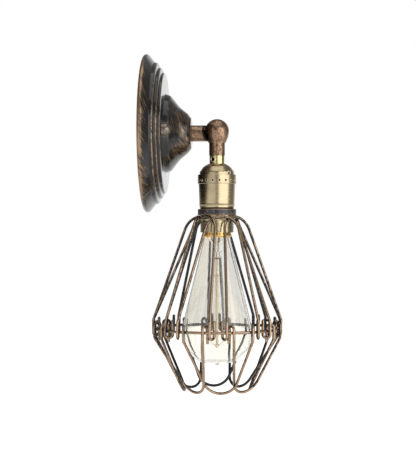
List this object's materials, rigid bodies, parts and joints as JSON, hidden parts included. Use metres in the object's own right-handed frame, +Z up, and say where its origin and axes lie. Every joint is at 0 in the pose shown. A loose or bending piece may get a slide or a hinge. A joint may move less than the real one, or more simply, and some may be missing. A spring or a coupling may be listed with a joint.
{
  "type": "cage wall light",
  "caption": "Wall light with a round spun plate, a swivel ball, a brass lampholder and a woven wire cage round a tapered filament bulb.",
  "frame": {"origin": "centre of the wall screws, on the wall at the back of the plate and crossbar", "axes": "+X out of the wall, +Z up, lamp head hanging straight down"},
  "size_m": [0.1218, 0.1398, 0.2977],
  "materials": {
    "plate_coat": "black paint brushed with copper-gold on ridges and edges",
    "zinc_steel": "zinc plated",
    "green_screw": "green painted",
    "nut_bronze": "aged bronze",
    "aged_copper": "mottled antique copper",
    "black_steel": "black oxide",
    "lead_insulation": "matt insulation",
    "aged_brass": "satin olive antique brass",
    "plain_brass": "bright brass",
    "porcelain": "white glaze",
    "collar_steel": "dark grey with bronze edges",
    "cage_coat": "black paint brushed with copper-gold",
    "clear_glass": "clear with a slight amber tint",
    "gold_base": "bright gold",
    "black_glass": "black glass insulator",
    "solder": "soft solder",
    "cream_glass": "cream glass rod",
    "carbon_filament": "thin carbon wire"
  },
  "bodies": {
    "wall_base": {"canopy": "plate_coat", "crossbar": "zinc_steel", "canopy_studs": "zinc_steel", "stud_locknuts": "zinc_steel", "canopy_cap_nuts": "nut_bronze", "ground_screw": "green_screw", "arm_tube": "aged_copper", "arm_locknut": "zinc_steel", "arm_lock_washer": "zinc_steel", "arm_half_ball": "aged_copper", "ball_washer": "black_steel", "pivot_screw": "zinc_steel", "arm_leads": "lead_insulation"},
    "head": {"head_half_ball": "aged_copper", "head_leads": "lead_insulation", "socket_neck": "aged_brass", "neck_set_screw": "black_steel", "socket_cap": "aged_brass", "cap_screw": "black_steel", "vent_band": "aged_brass", "socket_shell": "aged_brass", "lampholder_body": "porcelain", "terminal_screws": "plain_brass", "screw_shell": "plain_brass", "contact_spring": "plain_brass", "thread_sleeve": "aged_brass"},
    "cage": {"cage_collar": "collar_steel", "cage_ring": "cage_coat", "upper_loop_1": "cage_coat", "upper_loop_2": "cage_coat", "upper_loop_3": "cage_coat", "upper_loop_4": "cage_coat", "upper_loop_5": "cage_coat", "upper_loop_6": "cage_coat", "upper_loop_7": "cage_coat", "upper_loop_8": "cage_coat", "lower_petal_1": "cage_coat", "lower_petal_2": "cage_coat", "lower_petal_3": "cage_coat", "lower_petal_4": "cage_coat", "lower_petal_5": "cage_coat", "lower_petal_6": "cage_coat", "lower_petal_7": "cage_coat", "lower_petal_8": "cage_coat"},
    "bulb": {"bulb_glass": "clear_glass", "bulb_base": "gold_base", "bulb_base_insulator": "black_glass", "bulb_centre_contact": "solder", "bulb_stem": "clear_glass", "bulb_support_rod": "cream_glass", "bulb_filament": "carbon_filament"}
  },
  "joints": [
    {"name": "head_tilt", "type": "hinge", "parent": "wall_base", "child": "head", "pos_m": [0.064, 0, 0.002], "axis": [0, -1, 0], "range_deg": [0, 180]},
    {"name": "cage_unscrew", "type": "slide", "parent": "head", "child": "cage", "axis": [0, 0, -1], "range_m": [0, 0.006]},
    {"name": "bulb_unscrew", "type": "slide", "parent": "head", "child": "bulb", "axis": [0, 0, -1], "range_m": [0, 0.02]}
  ]
}
